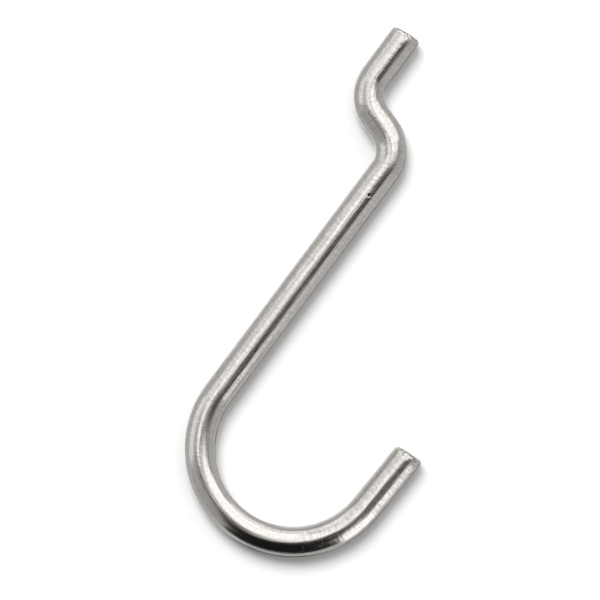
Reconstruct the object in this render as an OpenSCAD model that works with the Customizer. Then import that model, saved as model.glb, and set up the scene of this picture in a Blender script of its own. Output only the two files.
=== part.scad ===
// Pegboard hook, bent from one length of plated steel wire.
// The wire lies in the XZ plane. The origin is the middle of the straight peg, +Z is up as the hook
// hangs, and +X points from the board towards the open side of the J.

/* [Wire] */
// Diameter of the wire
wire_d = 5.7; // [4:0.1:7]
// Angle by which both cropped ends lie off square
cut_tilt = 6; // [0:0.5:12]
// Rounding of the cropped edges
cut_round = 0.6; // [0.2:0.05:1.2]

/* [Peg and crank] */
// Straight length of the peg, from its bend to the middle of its cropped end
peg_length = 9.6; // [6:0.1:16]
// Gap for the board, between the front of the peg and the back of the shank
board_gap = 6; // [4.8:0.1:9]
// Inside radius of both crank bends
crank_inner_r = 3.6; // [2.5:0.1:4.5]
// Turn of each crank bend
crank_turn = 72.5; // [60:0.5:79]

/* [Shank and J] */
// Straight length of the shank, from the crank to the J
shank_length = 51; // [25:1:150]
// Inside width of the J
j_inner_w = 28.6; // [12:0.2:60]
// Turn of the J; at 180 the prong is parallel to the shank
j_turn = 177.5; // [150:0.5:180]
// Straight length of the prong, from the J to the middle of its cropped end
prong_length = 12.9; // [4:0.1:40]

/* [Hidden] */
$fn = 72;

wire_r = wire_d / 2;
crank_r = crank_inner_r + wire_r;
j_r = j_inner_w / 2 + wire_r;

// The crossing makes up the part of the crank's step that its two bends leave
crank_step = board_gap + wire_d;
crossing_length = (crank_step - 2 * crank_r * (1 - cos(crank_turn))) / sin(crank_turn);

// The wire thins a little in its bends, and each bend reaches a little way into the straight
// stretches beside it
bend_thinning = 0.01;
bend_reach = 0.15;

// The rounding of a cropped edge ends at this slope and meets the wire's side in a slight crease
crease_slope = 25;
round_steps = 6;
crop_reach = wire_d;

// What is cropped off above z = 0, which leaves a flat face with a rounded edge
module crop() {
    face_r = wire_r - cut_round;
    edge = [for (i = [0 : round_steps])
        let (a = 90 - i * (90 - crease_slope) / round_steps)
        [face_r + cut_round * cos(a), cut_round * (sin(a) - 1)]];
    crease = edge[round_steps];
    outside_r = wire_r + crop_reach;
    outside_z = crease.y - (outside_r - crease.x) / tan(crease_slope);
    rotate_extrude()
        polygon(concat([[0, crop_reach], [0, 0]], edge, [[outside_r, outside_z], [outside_r, crop_reach]]));
}

// A straight stretch of wire up from z = 0; what follows goes on from its far end
module straight(length) {
    cylinder(d = wire_d, h = length);
    translate([0, 0, length])
        children();
}

// A straight stretch that starts with a cropped end, a little longer on its +X side
module cropped(length) {
    difference() {
        translate([0, 0, -crop_reach / 2])
            cylinder(d = wire_d, h = length + crop_reach / 2);
        rotate([0, 180 + cut_tilt, 0])
            crop();
    }
    translate([0, 0, length])
        children();
}

// A bend from +Z towards +X; what follows goes on from its far end
module bend(radius, turn) {
    reach_turn = bend_reach / radius * 180 / PI;
    translate([radius, 0, 0]) {
        rotate([90, reach_turn, 180])
            rotate_extrude(angle = turn + 2 * reach_turn)
                translate([radius, 0])
                    circle(r = wire_r - bend_thinning);
        rotate([0, turn, 0])
            translate([-radius, 0, 0])
                children();
    }
}

// The same bend towards -X
module bend_back(radius, turn) {
    rotate([0, 0, 180])
        bend(radius, turn)
            rotate([0, 0, 180])
                children();
}

// The whole hook, from the peg's cropped end down the shank, round the J and up to the prong's end.
// One tool cropped both ends of the straight wire, so before bending the two cuts were parallel.
module hook() {
    color("silver")
        translate([0, 0, peg_length / 2])
            rotate([180, 0, 0])
                cropped(peg_length)
                bend(crank_r, crank_turn)
                straight(crossing_length)
                bend_back(crank_r, crank_turn)
                straight(shank_length)
                bend(j_r, j_turn)
                translate([0, 0, prong_length])
                    rotate([0, 180, 0])
                        cropped(prong_length);
}

hook();
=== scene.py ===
"""A pegboard hook bent from one length of plated steel wire, with its studio.

The wire lies in the XZ plane. The origin is the middle of the straight peg, +Z is up as the hook
hangs, and +X points from the board towards the open side of the J. Lengths are in metres.
"""

import math
from collections import namedtuple

import bmesh
import bpy
from bpy.props import FloatProperty, FloatVectorProperty, IntProperty, PointerProperty
from mathutils import Matrix, Vector, noise


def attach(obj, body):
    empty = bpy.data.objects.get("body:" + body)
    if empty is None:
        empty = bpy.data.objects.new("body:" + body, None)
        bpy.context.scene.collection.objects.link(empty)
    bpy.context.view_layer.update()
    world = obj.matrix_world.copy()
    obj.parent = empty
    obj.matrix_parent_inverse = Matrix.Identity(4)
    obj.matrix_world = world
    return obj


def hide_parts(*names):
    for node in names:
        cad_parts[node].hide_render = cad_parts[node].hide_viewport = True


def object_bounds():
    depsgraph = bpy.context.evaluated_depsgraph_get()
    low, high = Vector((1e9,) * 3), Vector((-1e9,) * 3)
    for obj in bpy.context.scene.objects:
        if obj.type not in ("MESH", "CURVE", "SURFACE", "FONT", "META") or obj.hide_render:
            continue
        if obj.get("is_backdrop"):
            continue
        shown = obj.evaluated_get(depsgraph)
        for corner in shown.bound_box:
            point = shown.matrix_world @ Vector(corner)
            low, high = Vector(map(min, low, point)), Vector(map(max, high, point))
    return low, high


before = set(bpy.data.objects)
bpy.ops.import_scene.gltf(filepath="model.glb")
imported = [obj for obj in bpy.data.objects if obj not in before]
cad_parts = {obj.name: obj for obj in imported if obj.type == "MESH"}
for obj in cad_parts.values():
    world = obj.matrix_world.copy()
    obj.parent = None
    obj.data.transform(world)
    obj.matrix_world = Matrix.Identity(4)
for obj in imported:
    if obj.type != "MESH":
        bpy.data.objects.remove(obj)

bl_info = {
    "name": "Pegboard Hook",
    "version": (1, 0, 0),
    "blender": (4, 5, 0),
    "location": "3D View > Sidebar > Pegboard Hook",
    "description": "Bends a plated wire pegboard hook and sets up its studio",
    "category": "Object",
}

MM = 0.001
CAD_LOW, CAD_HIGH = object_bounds()
WIRE_RADIUS = (CAD_HIGH.y - CAD_LOW.y) / 2

# rings of faces along each stretch of the wire
PEG_RINGS = 8
CRANK_RINGS = 44
CROSSING_RINGS = 3
SHANK_RINGS = 36
J_RINGS = 150
PRONG_RINGS = 10

# rings over the rounded edge and across the flat face of each cut
ROUND_RINGS = 6
FACE_RINGS = 11

# length at each end that has no rings of its own, so that the cut can slide along it
STUB = 2 * MM

# material slots of the wire
PLATED = 0
CROPPED = 1

MERGE_GAP = 1e-7

# sizes of the stage, how far the backdrop is behind the hook and how far the floor is below it
BACKDROP_SIZE = 3.0
BACKDROP_GAP = 0.02 * MM
FLOOR_SIZE = 12.0
FLOOR_DROP = 0.15

# colours of the flags
BLACK = (0.012, 0.012, 0.012)
DARK = (0.07, 0.07, 0.07)
SHADE = (0.20, 0.20, 0.20)
GREY = (0.65, 0.65, 0.65)

# colour of the room
WHITE = (1.0, 1.0, 1.0)


class HookWireSizes(bpy.types.PropertyGroup):
    """Sizes of the bent wire."""

    wire_radius: FloatProperty(
        name="Wire Radius", description="Half the thickness of the wire",
        default=WIRE_RADIUS, min=0.001, unit="LENGTH")
    peg_length: FloatProperty(
        name="Peg", description="Straight length of the peg, from its bend to its cropped end",
        default=9.6 * MM, min=0.001, unit="LENGTH")
    board_gap: FloatProperty(
        name="Board Gap", description="Gap for the board, between the peg and the shank",
        default=6.0 * MM, min=0.001, unit="LENGTH")
    crank_inner_radius: FloatProperty(
        name="Crank Radius", description="Inside radius of both crank bends",
        default=3.6 * MM, min=0.001, unit="LENGTH")
    crank_turn: FloatProperty(
        name="Crank Turn", description="Turn of each crank bend",
        default=math.radians(72.5), min=0.1, max=1.4, subtype="ANGLE")
    shank_length: FloatProperty(
        name="Shank", description="Straight length of the shank, from the crank to the J",
        default=51.0 * MM, min=0.001, unit="LENGTH")
    j_inner_width: FloatProperty(
        name="J Width", description="Inside width of the J",
        default=28.6 * MM, min=0.001, unit="LENGTH")
    j_turn: FloatProperty(
        name="J Turn",
        description="Turn of the J, where 180 degrees leaves the prong parallel to the shank",
        default=math.radians(177.5), min=0.1, max=math.pi, subtype="ANGLE")
    prong_length: FloatProperty(
        name="Prong", description="Straight length of the prong, from the J to its cropped end",
        default=12.9 * MM, min=0.001, unit="LENGTH")
    cut_tilt: FloatProperty(
        name="Cut Tilt", description="Angle by which both cropped ends lie off square",
        default=math.radians(6.0), min=0.0, max=0.5, subtype="ANGLE")
    cut_round: FloatProperty(
        name="Cut Rounding", description="Rounding of the cropped edges",
        default=0.8 * MM, min=0.0001, unit="LENGTH")
    edge_wear: FloatProperty(
        name="Edge Wear", description="Unevenness of the rounded edge of each cut",
        default=0.05 * MM, min=0.0, unit="LENGTH")
    break_depth: FloatProperty(
        name="Break Depth", description="Depth of the coarse break on each cropped face",
        default=0.14 * MM, min=0.0, unit="LENGTH")
    skin_gap: FloatProperty(
        name="Skin Gap", description="How far the wire's skin stays inside its solid",
        default=0.012 * MM, min=0.0, unit="LENGTH")
    sides: IntProperty(
        name="Sides", description="Faces round the wire", default=96, min=16, max=192)


class HookPlating(bpy.types.PropertyGroup):
    """Colours and finish of the plated steel."""

    colour: FloatVectorProperty(
        name="Plating", description="Colour of the bright plating",
        default=(0.580, 0.561, 0.538), size=3, min=0.0, max=1.0, subtype="COLOR")
    worn_colour: FloatVectorProperty(
        name="Draw Lines", description="Colour in the draw lines, the grain and the cross marks",
        default=(0.395, 0.380, 0.362), size=3, min=0.0, max=1.0, subtype="COLOR")
    warm_colour: FloatVectorProperty(
        name="Warm Plating", description="Colour where the plating is a little warmer",
        default=(0.607, 0.574, 0.542), size=3, min=0.0, max=1.0, subtype="COLOR")
    pit_colour: FloatVectorProperty(
        name="Pits", description="Colour in the pits, the dark specks, the nicks and the dent",
        default=(0.070, 0.063, 0.056), size=3, min=0.0, max=1.0, subtype="COLOR")
    spark_colour: FloatVectorProperty(
        name="Bright Specks", description="Colour of the bright specks and of the burrs at the cuts",
        default=(0.850, 0.835, 0.810), size=3, min=0.0, max=1.0, subtype="COLOR")
    cut_colour: FloatVectorProperty(
        name="Cut Face", description="Colour of the cropped faces",
        default=(0.330, 0.318, 0.305), size=3, min=0.0, max=1.0, subtype="COLOR")
    roughness: FloatProperty(
        name="Roughness", description="Roughness of the bright plating",
        default=0.10, min=0.0, max=1.0, subtype="FACTOR")
    line_roughness: FloatProperty(
        name="Line Roughness", description="Roughness that the draw lines add",
        default=0.07, min=0.0, max=1.0, subtype="FACTOR")
    line_depth: FloatProperty(
        name="Line Depth", description="Depth of the draw lines",
        default=0.011 * MM, min=0.0, unit="LENGTH")
    dent_place: FloatVectorProperty(
        name="Dent Place",
        description="Place of the one deep dent, on the unbent wire from the peg's cut",
        default=(0.45 * MM, 2.80 * MM, 34.1 * MM), size=3, subtype="TRANSLATION")
    dent_radius: FloatProperty(
        name="Dent Radius", description="Radius of the one deep dent",
        default=0.46 * MM, min=0.0001, unit="LENGTH")
    nicked_length: FloatProperty(
        name="Nicked Length", description="Length next to each cut that has nicks and burrs",
        default=1.7 * MM, min=0.0004, unit="LENGTH")
    cut_depth: FloatProperty(
        name="Cut Depth", description="Depth of the shear lines on the cropped faces",
        default=0.02 * MM, min=0.0, unit="LENGTH")


class HookStudio(bpy.types.PropertyGroup):
    """Camera, backdrop, floor and lights."""

    lens: FloatProperty(
        name="Lens", description="Focal length in millimetres",
        default=300.0, min=20.0, max=500.0)
    view_width: FloatProperty(
        name="View Width", description="Width that the camera sees at the wire",
        default=110.35 * MM, min=0.01, unit="LENGTH")
    view_roll: FloatProperty(
        name="View Roll", description="How far the hook leans to the right in the view",
        default=math.radians(36.713), subtype="ANGLE")
    view_aim: FloatVectorProperty(
        name="View Aim", description="Point in the middle of the view",
        default=(13.47 * MM, 0.0, -46.28 * MM), size=3, subtype="TRANSLATION")
    light_distance: FloatProperty(
        name="Light Distance", description="Distance from the hook to the softboxes",
        default=2.0, min=0.2, unit="LENGTH")
    backdrop_colour: FloatVectorProperty(
        name="Backdrop", description="Colour of the backdrop behind the hook",
        default=(0.57, 0.57, 0.57), size=3, min=0.0, max=1.0, subtype="COLOR")
    floor_colour: FloatVectorProperty(
        name="Floor", description="Colour of the floor under the hook",
        default=(0.80, 0.80, 0.80), size=3, min=0.0, max=1.0, subtype="COLOR")
    floor_glow: FloatProperty(
        name="Floor Glow", description="Light that the floor gives off, so that it is evenly pale",
        default=0.55, min=0.0)
    room_light: FloatProperty(
        name="Room Light", description="Brightness of the room round the studio",
        default=0.72, min=0.0)
    softbox_light: FloatProperty(
        name="Softbox", description="Brightness that the main softbox adds to the room's",
        default=1.24, min=0.0)
    shadow_light: FloatProperty(
        name="Shadow Light", description="Strength of the lamp that casts the shadow on the backdrop",
        default=3.4, min=0.0)
    shadow_width: FloatProperty(
        name="Shadow Softness", description="Angle that the shadow lamp spans",
        default=math.radians(30.0), min=0.0, subtype="ANGLE")


# ---------------------------------------------------------------------------------------------
# Wire


class Bender:
    """Feeds a ring of wire along and bends it, so that each ring is pulled out of the last."""

    def __init__(self, bm, sizes):
        self.bm = bm
        self.unbent = bm.verts.layers.float_vector.new("unbent")
        self.heading = Matrix.Identity(3)      # its columns are the wire's own X, Y and Z
        self.place = Vector((0.0, 0.0, 0.0))
        radius = sizes.wire_radius - sizes.skin_gap
        self.ring = bmesh.ops.create_circle(bm, segments=sizes.sides, radius=radius)["verts"]
        self.edges = list(bm.edges)
        for vert in self.ring:
            vert[self.unbent] = vert.co

    def pull(self):
        """Draws a new ring out of the last one, leaves it in the same place and gives the new faces."""
        made = bmesh.ops.extrude_edge_only(self.bm, edges=self.edges)["geom"]
        self.ring = [v for v in made if isinstance(v, bmesh.types.BMVert)]
        inside = set(self.ring)
        edges = [e for e in made if isinstance(e, bmesh.types.BMEdge)]
        self.edges = [e for e in edges if inside.issuperset(e.verts)]
        return [f for f in made if isinstance(f, bmesh.types.BMFace)]

    def count(self, length):
        """Moves the ring on along the unbent wire."""
        for vert in self.ring:
            vert[self.unbent] = vert[self.unbent] + Vector((0.0, 0.0, length))

    def feed(self, length, steps):
        """Straight wire."""
        ahead = self.heading.col[2] * (length / steps)
        for _ in range(steps):
            self.pull()
            bmesh.ops.translate(self.bm, verts=self.ring, vec=ahead)
            self.count(length / steps)
            self.place += ahead

    def bend(self, radius, turn, steps):
        """A bend towards the wire's own +X, or towards -X where turn is negative."""
        side = math.copysign(radius, turn)
        centre = self.place + self.heading.col[0] * side
        step = Matrix.Rotation(turn / steps, 3, self.heading.col[1])
        for _ in range(steps):
            self.pull()
            bmesh.ops.rotate(self.bm, verts=self.ring, cent=centre, matrix=step)
            self.count(abs(turn) / steps * radius)
            self.place = centre + step @ (self.place - centre)
            self.heading = step @ self.heading


# an open end: its ring, the middle and outward side of its cut, and where it is along the wire
WireEnd = namedtuple("WireEnd", "ring edges point heading outward length")


def build_wire(sizes):
    """Bends the wire, from the peg's end to the prong's, and leaves both ends open."""
    bm = bmesh.new()
    radius = sizes.wire_radius
    crank_radius = sizes.crank_inner_radius + radius
    j_radius = sizes.j_inner_width / 2 + radius
    step = sizes.board_gap + 2 * radius
    step_of_bends = 2 * crank_radius * (1 - math.cos(sizes.crank_turn))
    crossing = (step - step_of_bends) / math.sin(sizes.crank_turn)

    # down the peg, through the crank, down the shank, round the J and up the prong
    top = Vector((0.0, 0.0, sizes.peg_length / 2 - sizes.skin_gap))
    start = Matrix.Translation(top) @ Matrix.Rotation(math.pi, 4, "X")
    wire = Bender(bm, sizes)
    bmesh.ops.transform(bm, verts=wire.ring, matrix=start)
    wire.heading, wire.place = start.to_3x3(), top.copy()
    tilt = Matrix.Rotation(-sizes.cut_tilt, 3, "Y")
    peg_end = WireEnd(
        wire.ring, wire.edges, top, wire.heading.copy(), tilt @ -wire.heading.col[2], 0.0)
    wire.feed(STUB, 1)
    wire.feed(sizes.peg_length - sizes.skin_gap - STUB, PEG_RINGS)
    wire.bend(crank_radius, sizes.crank_turn, CRANK_RINGS)
    wire.feed(crossing, CROSSING_RINGS)
    wire.bend(crank_radius, -sizes.crank_turn, CRANK_RINGS)
    wire.feed(sizes.shank_length, SHANK_RINGS)
    wire.bend(j_radius, sizes.j_turn, J_RINGS)
    wire.feed(sizes.prong_length - sizes.skin_gap - STUB, PRONG_RINGS)
    wire.feed(STUB, 1)
    length = wire.ring[0][wire.unbent].z
    prong_end = WireEnd(
        wire.ring, wire.edges, wire.place, wire.heading.copy(), tilt @ wire.heading.col[2], length)
    return wire, (peg_end, prong_end)


def cut_profile(flat, rounding):
    """Radius, height and material of each ring, over the edge of a cut and in to its middle."""
    for ring in range(1, ROUND_RINGS + 1):
        angle = math.radians(90) * ring / ROUND_RINGS
        yield flat + rounding * math.cos(angle), rounding * (math.sin(angle) - 1), PLATED
    for ring in range(1, FACE_RINGS):
        yield flat * (1 - ring / FACE_RINGS), 0.0, CROPPED


def crop(wire, end, sizes):
    """Slides the end ring onto the cut, rounds its edge over and closes the face."""
    bm = wire.bm
    wire.ring, wire.edges = end.ring, end.edges
    centre = end.point - end.outward * sizes.cut_round
    ahead = end.heading.col[2]
    for vert in wire.ring:
        vert.co += ahead * ((centre - vert.co).dot(end.outward) / ahead.dot(end.outward))

    radius = sizes.wire_radius - sizes.skin_gap
    flat = radius - sizes.cut_round
    skin = set(wire.ring)
    for new_radius, height, material in cut_profile(flat, sizes.cut_round):
        made = wire.pull()
        shrink = new_radius / radius
        about = Matrix.Translation(-centre)
        bmesh.ops.scale(bm, verts=wire.ring, vec=(shrink, shrink, shrink), space=about)
        level = end.point + end.outward * height
        bmesh.ops.translate(bm, verts=wire.ring, vec=level - centre)
        centre, radius = level, new_radius
        skin.update(wire.ring)
        for face in made:
            face.material_index = material
    middle = bmesh.ops.contextual_create(bm, geom=wire.edges, mat_nr=CROPPED)["faces"]
    skin.update(bmesh.ops.poke(bm, faces=middle)["verts"])
    for vert in skin:
        wear_cut(vert, wire.unbent, end, flat, sizes)


def clamp(value):
    return max(0.0, min(1.0, value))


def wear_cut(vert, unbent, end, flat, sizes):
    """Notes a point's place on the unbent wire, and sinks it where the cut is worn or broken."""
    off = vert.co - end.point
    across = Vector((off.dot(end.heading.col[0]), off.dot(end.heading.col[1]), 0.0))
    vert[unbent] = across + Vector((0.0, 0.0, end.length + off.dot(end.heading.col[2])))

    coarse = noise.noise(vert.co / (0.35 * MM))
    fine = noise.noise(vert.co / (0.16 * MM))
    wander = noise.noise(vert.co / (0.9 * MM))
    uneven = coarse + 0.5 * fine
    side = across.x / sizes.wire_radius + 0.25 * wander
    inward = 1.0 - min(1.0, across.length / flat)
    face = clamp(3 * inward)                       # 0 at the edge, 1 from a third of the way in
    broken = clamp((side - 0.05) * 4) * face       # the half on the side of the wire's own +X
    worn = (1.0 - face) * (0.5 + 0.5 * uneven)
    sink = broken * (1.0 + 0.5 * uneven) * sizes.break_depth + worn * sizes.edge_wear
    vert.co -= end.outward * max(0.0, sink)


def hook_mesh(sizes):
    """The whole hook as one closed mesh."""
    wire, ends = build_wire(sizes)
    bm = wire.bm
    for end in ends:
        crop(wire, end, sizes)
    bmesh.ops.remove_doubles(bm, verts=bm.verts, dist=MERGE_GAP)
    bmesh.ops.recalc_face_normals(bm, faces=bm.faces)
    for face in bm.faces:
        face.smooth = True
    mesh = bpy.data.meshes.new("plated_wire_hook")
    bm.to_mesh(mesh)
    bm.free()
    return mesh


# ---------------------------------------------------------------------------------------------
# Finishes


class Finish:
    """Lays out the nodes of a metal finish, with its patterns laid along the unbent wire."""

    def __init__(self, name):
        self.mat = bpy.data.materials.new(name)
        self.mat.use_nodes = True
        self.nodes = self.mat.node_tree.nodes
        self.nodes.clear()
        out = self.nodes.new("ShaderNodeOutputMaterial")
        self.shader = self.nodes.new("ShaderNodeBsdfPrincipled")
        self.shader.inputs["Metallic"].default_value = 1.0
        self.join(self.shader.outputs["BSDF"], out.inputs["Surface"])
        self.wire = self.nodes.new("ShaderNodeAttribute")
        self.wire.attribute_name = "unbent"
        self.axes = self.nodes.new("ShaderNodeSeparateXYZ")
        self.join(self.wire.outputs["Vector"], self.axes.inputs["Vector"])

    def join(self, source, socket):
        """Links a socket to the source, or sets it where the source is a plain value."""
        if isinstance(source, bpy.types.NodeSocket):
            self.mat.node_tree.links.new(source, socket)
        else:
            socket.default_value = source

    def sized(self, across, along, shift=0.0):
        """Coordinates on the unbent wire, in units of a pattern's size across and along it."""
        place = self.nodes.new("ShaderNodeMapping")
        place.inputs["Scale"].default_value = (1 / across, 1 / across, 1 / along)
        place.inputs["Location"].default_value = (shift, shift, shift)
        self.join(self.wire.outputs["Vector"], place.inputs["Vector"])
        return place.outputs["Vector"]

    def noise(self, across, along, detail=2.0, shift=0.0):
        """A cloudy pattern, stretched to its size across and along the wire."""
        node = self.nodes.new("ShaderNodeTexNoise")
        node.inputs["Scale"].default_value = 1.0
        node.inputs["Detail"].default_value = detail
        self.join(self.sized(across, along, shift), node.inputs["Vector"])
        return node.outputs["Fac"]

    def spots(self, spacing, size, share, shift=0.0):
        """Round spots of one size, in a share of the cells of a random grid."""
        node = self.nodes.new("ShaderNodeTexVoronoi")
        node.inputs["Scale"].default_value = 1.0
        self.join(self.sized(spacing, spacing, shift), node.inputs["Vector"])
        edge = size / spacing
        near = self.between(node.outputs["Distance"], low=edge, high=0.5 * edge)
        pick = self.nodes.new("ShaderNodeSeparateColor")
        self.join(node.outputs["Color"], pick.inputs["Color"])
        chosen = self.maths("LESS_THAN", pick.outputs["Red"], share)
        return self.maths("MULTIPLY", near, chosen)

    def around(self, place, radius):
        """One round spot, at a place on the unbent wire."""
        gap = self.nodes.new("ShaderNodeVectorMath")
        gap.operation = "DISTANCE"
        self.join(self.wire.outputs["Vector"], gap.inputs[0])
        gap.inputs[1].default_value = place
        return self.between(gap.outputs["Value"], low=radius, high=0.4 * radius)

    def between(self, value, low, high):
        """Goes smoothly from 0 at low to 1 at high, where high may be the smaller value."""
        node = self.nodes.new("ShaderNodeMapRange")
        node.interpolation_type = "SMOOTHSTEP"
        self.join(value, node.inputs["Value"])
        node.inputs["From Min"].default_value = low
        node.inputs["From Max"].default_value = high
        return node.outputs["Result"]

    def maths(self, operation, first, second, third=0.0):
        """Works out one sum of two or three values."""
        node = self.nodes.new("ShaderNodeMath")
        node.operation = operation
        for socket, value in zip(node.inputs, (first, second, third)):
            self.join(value, socket)
        return node.outputs["Value"]

    def mix(self, amount, first, second):
        """Mixes two colours."""
        node = self.nodes.new("ShaderNodeMix")
        node.data_type = "RGBA"
        self.join(amount, node.inputs["Factor"])
        # sockets 6 and 7 are the two colours, and output 2 is the mixed one
        for socket, value in ((node.inputs[6], first), (node.inputs[7], second)):
            self.join(value if isinstance(value, bpy.types.NodeSocket) else (*value, 1.0), socket)
        return node.outputs[2]

    def lay(self, coat, pattern, share, colour):
        """Lays a share of a colour over the coat, where the pattern shows."""
        return self.mix(self.maths("MULTIPLY", pattern, share), coat, colour)

    def bump(self, height, depth):
        """Raises the surface by depth where the height is 1."""
        node = self.nodes.new("ShaderNodeBump")
        node.inputs["Distance"].default_value = depth
        self.join(height, node.inputs["Height"])
        self.join(node.outputs["Normal"], self.shader.inputs["Normal"])


def plated_steel(look, length):
    """Bright plating over drawn wire: draw lines, grain, marks, specks, pits, nicks and a dent."""
    steel = Finish("plated_steel")
    along = steel.axes.outputs["Z"]

    # lines along the wire, and grain and tint all over it
    lines = steel.noise(across=0.42 * MM, along=14 * MM, detail=3.0)
    lines = steel.between(lines, low=0.38, high=0.66)
    hairs = steel.noise(across=0.13 * MM, along=5 * MM, shift=7.0)
    hairs = steel.between(hairs, low=0.40, high=0.64)
    grain = steel.noise(across=0.36 * MM, along=0.42 * MM, detail=3.0, shift=3.0)
    grain = steel.between(grain, low=0.38, high=0.62)
    tint = steel.noise(across=3.5 * MM, along=16 * MM, shift=11.0)
    tint = steel.between(tint, low=0.35, high=0.65)

    # marks across the wire, a quarter as strong round the first half of the J
    marks = steel.noise(across=1.60 * MM, along=0.42 * MM, shift=2.0)
    marks = steel.between(marks, low=0.42, high=0.62)
    before_bend = steel.between(along, low=92 * MM, high=80 * MM)
    after_bend = steel.between(along, low=112 * MM, high=122 * MM)
    strength = steel.maths("ADD", before_bend, after_bend)
    strength = steel.maths("MULTIPLY_ADD", strength, 0.75, 0.25)
    marks = steel.maths("MULTIPLY", marks, strength)

    # nicks and burrs next to the cuts
    full = 0.3 * MM
    peg_cut = steel.between(along, low=look.nicked_length, high=full)
    prong_cut = steel.between(along, low=length - look.nicked_length, high=length - full)
    near_cut = steel.maths("ADD", peg_cut, prong_cut)
    nicks = steel.noise(across=0.34 * MM, along=0.34 * MM, shift=6.0)
    nicks = steel.maths("MULTIPLY", steel.between(nicks, low=0.52, high=0.60), near_cut)
    burrs = steel.noise(across=0.55 * MM, along=0.40 * MM, shift=12.0)
    burrs = steel.maths("MULTIPLY", steel.between(burrs, low=0.50, high=0.62), near_cut)

    # single spots
    specks = steel.spots(spacing=0.9 * MM, size=0.16 * MM, share=0.25)
    sparks = steel.spots(spacing=1.7 * MM, size=0.17 * MM, share=0.12, shift=8.0)
    pits = steel.spots(spacing=3.1 * MM, size=0.32 * MM, share=0.16, shift=5.0)
    dent = steel.around(look.dent_place, look.dent_radius)

    coat = steel.mix(tint, look.colour, look.warm_colour)
    coat = steel.lay(coat, lines, share=0.42, colour=look.worn_colour)
    coat = steel.lay(coat, hairs, share=0.25, colour=look.worn_colour)
    coat = steel.lay(coat, grain, share=0.36, colour=look.worn_colour)
    coat = steel.lay(coat, marks, share=0.42, colour=look.worn_colour)
    coat = steel.lay(coat, sparks, share=0.70, colour=look.spark_colour)
    coat = steel.lay(coat, burrs, share=0.60, colour=look.spark_colour)
    coat = steel.lay(coat, nicks, share=0.68, colour=look.pit_colour)
    coat = steel.lay(coat, specks, share=0.60, colour=look.pit_colour)
    coat = steel.mix(steel.maths("MAXIMUM", pits, dent), coat, look.pit_colour)
    steel.join(coat, steel.shader.inputs["Base Color"])

    rough = steel.maths("MULTIPLY_ADD", lines, look.line_roughness, look.roughness)
    for pattern, added in ((grain, 0.04), (marks, 0.04), (pits, 0.30)):
        rough = steel.maths("MULTIPLY_ADD", pattern, added, rough)
    steel.join(rough, steel.shader.inputs["Roughness"])

    # how deep the other patterns are, where the draw lines are 1 deep
    depths = ((hairs, 0.25), (grain, 0.28), (marks, 0.28), (specks, 1.5), (pits, 4.0), (dent, 8.0))
    height = steel.maths("MULTIPLY", lines, -1.0)
    for pattern, depth in (*depths, (nicks, 3.0)):
        height = steel.maths("MULTIPLY_ADD", pattern, -depth, height)
    steel.bump(height, look.line_depth)
    return steel.mat


def cropped_steel(look):
    """Bare steel of a cropped end: shear lines on one side and a coarse break on the other."""
    steel = Finish("cropped_steel")
    wander = steel.noise(across=0.9 * MM, along=0.9 * MM, detail=1.0, shift=4.0)
    shear_lines = steel.nodes.new("ShaderNodeTexNoise")
    shear_lines.noise_dimensions = "1D"
    shear_lines.inputs["Scale"].default_value = 1.0
    shear_lines.inputs["Detail"].default_value = 3.0
    bent = steel.maths("MULTIPLY_ADD", wander, 0.25 * MM, steel.axes.outputs["Y"])
    steel.join(steel.maths("DIVIDE", bent, 0.16 * MM), shear_lines.inputs["W"])
    grain = steel.noise(across=0.16 * MM, along=0.16 * MM, detail=4.0, shift=9.0)
    ragged = steel.maths("MULTIPLY_ADD", wander, 1.6 * MM, steel.axes.outputs["X"])
    broken = steel.between(ragged, low=0.5 * MM, high=1.0 * MM)

    sheared = steel.mix(shear_lines.outputs["Fac"], look.cut_colour, look.worn_colour)
    coarse = steel.mix(grain, look.pit_colour, look.cut_colour)
    steel.join(steel.mix(broken, sheared, coarse), steel.shader.inputs["Base Color"])
    steel.join(steel.maths("MULTIPLY_ADD", broken, 0.22, 0.34), steel.shader.inputs["Roughness"])
    rise = steel.maths("MULTIPLY", grain, broken)
    height = steel.maths("MULTIPLY_ADD", rise, 2.5, shear_lines.outputs["Fac"])
    steel.bump(height, look.cut_depth)
    return steel.mat


class HOOK_OT_bend_wire(bpy.types.Operator):
    """Bend the plated wire into the hook, and crop both its ends"""

    bl_idname = "hook.bend_wire"
    bl_label = "Bend Wire"

    def execute(self, context):
        mesh = hook_mesh(context.scene.hook_sizes)
        length = max(point.vector.z for point in mesh.attributes["unbent"].data)
        mesh.materials.append(plated_steel(context.scene.hook_plating, length))
        mesh.materials.append(cropped_steel(context.scene.hook_plating))
        piece = bpy.data.objects.new("wire_hook", mesh)
        context.scene.collection.objects.link(piece)
        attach(piece, "root")
        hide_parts("hook")
        return {"FINISHED"}


# ---------------------------------------------------------------------------------------------
# Studio


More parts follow.
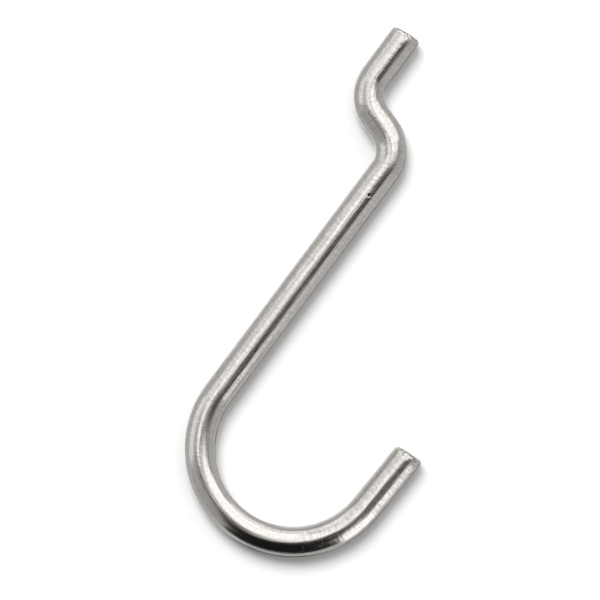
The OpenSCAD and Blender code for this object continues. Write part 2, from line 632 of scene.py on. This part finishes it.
class Studio:
    """Places softboxes and flags round the hook, by where the camera would see them from it."""

    def __init__(self, values):
        roll = Matrix.Rotation(-values.view_roll, 3, "Y")
        self.turn = roll @ Matrix.Rotation(math.pi / 2, 3, "X")
        self.right, self.up, self.back = self.turn.col
        self.aim = Vector(values.view_aim)
        self.reach = values.light_distance

    def overhead(self, x, y, spin=0.0, nearer=1.0):
        """A place on the plane that faces the hook's front, with x and y in units of its distance."""
        out = self.right * x + self.up * y + self.back
        facing = self.turn @ Matrix.Rotation(math.radians(spin), 3, "Z")
        return Matrix.Translation(self.aim + out * (self.reach * nearer)) @ facing.to_4x4()

    def around(self, azimuth, off_axis, nearer=1.0):
        """A place on a sphere, by its angle round the camera's axis and its angle off that axis."""
        azimuth, off_axis = math.radians(azimuth), math.radians(off_axis)
        across = self.right * math.cos(azimuth) + self.up * math.sin(azimuth)
        out = across * math.sin(off_axis) + self.back * math.cos(off_axis)
        radial = across * math.cos(off_axis) - self.back * math.sin(off_axis)
        facing = Matrix((radial.cross(out), radial, out)).transposed()
        return Matrix.Translation(self.aim + out * (self.reach * nearer)) @ facing.to_4x4()

    def softbox(self, name, place, width, height, brightness):
        """An even rectangular light, with its width and height in units of its distance."""
        light = bpy.data.lights.new(name, "AREA")
        light.shape = "RECTANGLE"
        light.size, light.size_y = width * self.reach, height * self.reach
        light.energy = brightness * math.pi * light.size * light.size_y      # watts
        box = bpy.data.objects.new(name, light)
        bpy.context.scene.collection.objects.link(box)
        box.matrix_world = place
        box.visible_camera = False

    def shadow_lamp(self, name, place, angle, strength, caster):
        """A distant soft lamp that is not seen in the metal, with the shadow of one piece only."""
        light = bpy.data.lights.new(name, "SUN")
        light.angle = angle
        light.energy = strength
        lamp = bpy.data.objects.new(name, light)
        bpy.context.scene.collection.objects.link(lamp)
        lamp.matrix_world = place
        lamp.visible_glossy = False
        casters = bpy.data.collections.new("shadow_casters")
        casters.objects.link(caster)
        lamp.light_linking.blocker_collection = casters

    def flag(self, name, place, width, height, mat, taper=1.0):
        """A card that shades and darkens, narrowed by taper at its edge nearer the camera's axis."""
        card = stage_plane(name, place, width * self.reach, height * self.reach, mat, taper)
        card.visible_camera = False


def plain_material(name, colour, glow=0.0):
    """A matt material, which may give off light of its own colour."""
    mat = bpy.data.materials.new(name)
    mat.use_nodes = True
    shader = mat.node_tree.nodes["Principled BSDF"]
    shader.inputs["Base Color"].default_value = (*colour, 1.0)
    shader.inputs["Roughness"].default_value = 1.0
    shader.inputs["Specular IOR Level"].default_value = 0.0
    shader.inputs["Emission Color"].default_value = (*colour, 1.0)
    shader.inputs["Emission Strength"].default_value = glow
    return mat


def clear_from_behind(mat):
    """Makes the back of a material's faces clear."""
    nodes, links = mat.node_tree.nodes, mat.node_tree.links
    mix = nodes.new("ShaderNodeMixShader")
    clear = nodes.new("ShaderNodeBsdfTransparent")
    side = nodes.new("ShaderNodeNewGeometry")
    links.new(side.outputs["Backfacing"], mix.inputs["Fac"])
    links.new(nodes["Principled BSDF"].outputs["BSDF"], mix.inputs[1])
    links.new(clear.outputs["BSDF"], mix.inputs[2])
    links.new(mix.outputs["Shader"], nodes["Material Output"].inputs["Surface"])


def room(brightness):
    """A room that lights the hook evenly, and is plain white where nothing stands in the view."""
    world = bpy.data.worlds.new("room")
    world.use_nodes = True
    nodes, links = world.node_tree.nodes, world.node_tree.links
    light = nodes["Background"]
    light.inputs["Color"].default_value = (*WHITE, 1.0)
    light.inputs["Strength"].default_value = brightness
    plain = nodes.new("ShaderNodeBackground")
    plain.inputs["Color"].default_value = (*WHITE, 1.0)
    seen = nodes.new("ShaderNodeLightPath")
    mix = nodes.new("ShaderNodeMixShader")
    links.new(seen.outputs["Is Camera Ray"], mix.inputs["Fac"])
    links.new(light.outputs["Background"], mix.inputs[1])
    links.new(plain.outputs["Background"], mix.inputs[2])
    links.new(mix.outputs["Shader"], nodes["World Output"].inputs["Surface"])
    return world


def stage_plane(name, place, width, height, mat, taper=1.0):
    """A rectangle that is not part of the hook, narrowed by taper at its lower edge."""
    bm = bmesh.new()
    bmesh.ops.create_grid(bm, x_segments=1, y_segments=1, size=0.5)
    near = [v for v in bm.verts if v.co.y < 0]
    bmesh.ops.scale(bm, verts=near, vec=(taper, 1.0, 1.0))
    bmesh.ops.scale(bm, verts=bm.verts, vec=(width, height, 1.0))
    bmesh.ops.transform(bm, verts=bm.verts, matrix=place)
    mesh = bpy.data.meshes.new(name)
    bm.to_mesh(mesh)
    bm.free()
    mesh.materials.append(mat)
    plane = bpy.data.objects.new(name, mesh)
    bpy.context.scene.collection.objects.link(plane)
    plane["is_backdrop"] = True
    return plane


def only_for_camera(plane):
    """Makes a plane take shadows, and neither light the hook nor show in it."""
    plane.visible_diffuse = False
    plane.visible_glossy = False
    plane.visible_transmission = False
    plane.visible_shadow = False


def set_camera(studio, values):
    """A camera square to the hook's plane, as wide as the view."""
    lens = bpy.data.cameras.new("camera")
    lens.lens = values.lens
    lens.clip_start, lens.clip_end = 0.05, 20.0
    distance = values.view_width * lens.lens / lens.sensor_width
    camera = bpy.data.objects.new("camera", lens)
    bpy.context.scene.collection.objects.link(camera)
    camera.matrix_world = studio.overhead(x=0.0, y=0.0, nearer=distance / studio.reach)
    bpy.context.scene.camera = camera


def set_stage(studio, values):
    """A backdrop just behind the hook, and a floor below it."""
    low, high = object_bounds()
    backdrop_mat = plain_material("backdrop_white", values.backdrop_colour)
    clear_from_behind(backdrop_mat)
    behind = Vector((studio.aim.x, high.y + BACKDROP_GAP, studio.aim.z))
    facing = Matrix.Translation(behind) @ studio.turn.to_4x4()
    only_for_camera(stage_plane("backdrop", facing, BACKDROP_SIZE, BACKDROP_SIZE, backdrop_mat))
    floor_mat = plain_material("floor_white", values.floor_colour, values.floor_glow)
    below = Matrix.Translation((0.0, 0.0, low.z - FLOOR_DROP))
    only_for_camera(stage_plane("floor", below, FLOOR_SIZE, FLOOR_SIZE, floor_mat))


def set_lights(studio, values):
    """The room, the softboxes that draw the bright bands, and the lamp that casts the shadow."""
    bpy.context.scene.world = room(values.room_light)
    key = values.softbox_light
    studio.softbox(
        "key_softbox", studio.overhead(x=1.19, y=0.92),
        width=2.82, height=2.02, brightness=key)
    studio.softbox(
        "near_softbox", studio.overhead(x=-0.35, y=0.19),
        width=0.28, height=0.56, brightness=key * 0.78)
    studio.softbox(
        "left_softbox", studio.around(azimuth=128, off_axis=50),
        width=0.64, height=0.84, brightness=key * 0.46)
    studio.softbox(
        "far_left_softbox", studio.around(azimuth=171, off_axis=66),
        width=0.70, height=0.66, brightness=key * 0.52)
    studio.softbox(
        "top_softbox", studio.around(azimuth=88, off_axis=78),
        width=2.3, height=0.66, brightness=key * 0.62)
    studio.softbox(
        "reflector", studio.around(azimuth=308.7, off_axis=76, nearer=1.6),
        width=0.65, height=2.0, brightness=key * 1.12)
    studio.softbox(
        "back_softbox", studio.around(azimuth=100, off_axis=176),
        width=0.60, height=0.50, brightness=key * 0.5)
    studio.softbox(
        "back_left_softbox", studio.around(azimuth=118, off_axis=144),
        width=0.95, height=0.52, brightness=key * 0.34)
    studio.shadow_lamp(
        "shadow_lamp", studio.around(azimuth=112, off_axis=32),
        values.shadow_width, values.shadow_light, caster=bpy.data.objects["wire_hook"])


def set_flags(studio):
    """The cards that draw the dark bands."""
    black = plain_material("flag_black", BLACK)
    dark = plain_material("flag_dark", DARK)
    shade = plain_material("flag_shade", SHADE)
    grey = plain_material("flag_grey", GREY)
    studio.flag(
        "camera_flag", studio.around(azimuth=262.5, off_axis=47, nearer=0.9),
        width=1.72, height=2.03, mat=black, taper=0.05)
    studio.flag(
        "lens_flag", studio.overhead(x=-0.01, y=0.01, nearer=0.9),
        width=0.09, height=0.15, mat=black)
    studio.flag(
        "edge_flag", studio.overhead(x=-0.48, y=-0.19, nearer=0.95),
        width=0.80, height=0.18, mat=shade)
    studio.flag(
        "side_flag", studio.around(azimuth=327.5, off_axis=26, nearer=0.92),
        width=0.37, height=0.72, mat=dark, taper=0.22)
    studio.flag(
        "corner_flag", studio.overhead(x=2.0, y=-0.05, spin=30, nearer=0.96),
        width=2.4, height=1.1, mat=grey)
    studio.flag(
        "back_flag", studio.around(azimuth=262, off_axis=149, nearer=0.9),
        width=0.42, height=0.62, mat=dark)
    studio.flag(
        "back_right_flag", studio.around(azimuth=323, off_axis=157, nearer=0.9),
        width=0.50, height=0.38, mat=dark)
    studio.flag(
        "left_flag", studio.around(azimuth=211, off_axis=62, nearer=0.94),
        width=0.66, height=1.1, mat=grey)


class HOOK_OT_set_studio(bpy.types.Operator):
    """Set the camera, the backdrop, the floor and the lights"""

    bl_idname = "hook.set_studio"
    bl_label = "Set Studio"

    def execute(self, context):
        values = context.scene.hook_studio
        studio = Studio(values)
        set_camera(studio, values)
        set_stage(studio, values)
        set_lights(studio, values)
        set_flags(studio)
        return {"FINISHED"}


# ---------------------------------------------------------------------------------------------
# Add-on


class HOOK_PT_panel(bpy.types.Panel):
    """Sizes and colours of the hook and its studio"""

    bl_idname = "HOOK_PT_panel"
    bl_label = "Pegboard Hook"
    bl_space_type = "VIEW_3D"
    bl_region_type = "UI"
    bl_category = "Pegboard Hook"

    def draw(self, context):
        layout = self.layout
        for group in ("hook_sizes", "hook_plating", "hook_studio"):
            column = layout.column()
            values = getattr(context.scene, group)
            for name in values.bl_rna.properties.keys():
                if name not in {"rna_type", "name"}:
                    column.prop(values, name)
        layout.operator("hook.bend_wire")
        layout.operator("hook.set_studio")


CLASSES = (
    HookWireSizes,
    HookPlating,
    HookStudio,
    HOOK_OT_bend_wire,
    HOOK_OT_set_studio,
    HOOK_PT_panel,
)


def register():
    for cls in CLASSES:
        bpy.utils.register_class(cls)
    bpy.types.Scene.hook_sizes = PointerProperty(type=HookWireSizes)
    bpy.types.Scene.hook_plating = PointerProperty(type=HookPlating)
    bpy.types.Scene.hook_studio = PointerProperty(type=HookStudio)


def unregister():
    del bpy.types.Scene.hook_sizes
    del bpy.types.Scene.hook_plating
    del bpy.types.Scene.hook_studio
    for cls in reversed(CLASSES):
        bpy.utils.unregister_class(cls)


def main():
    register()
    bpy.ops.hook.bend_wire()
    bpy.ops.hook.set_studio()
    bpy.context.scene.view_settings.view_transform = "Standard"


if __name__ == "__main__":
    main()
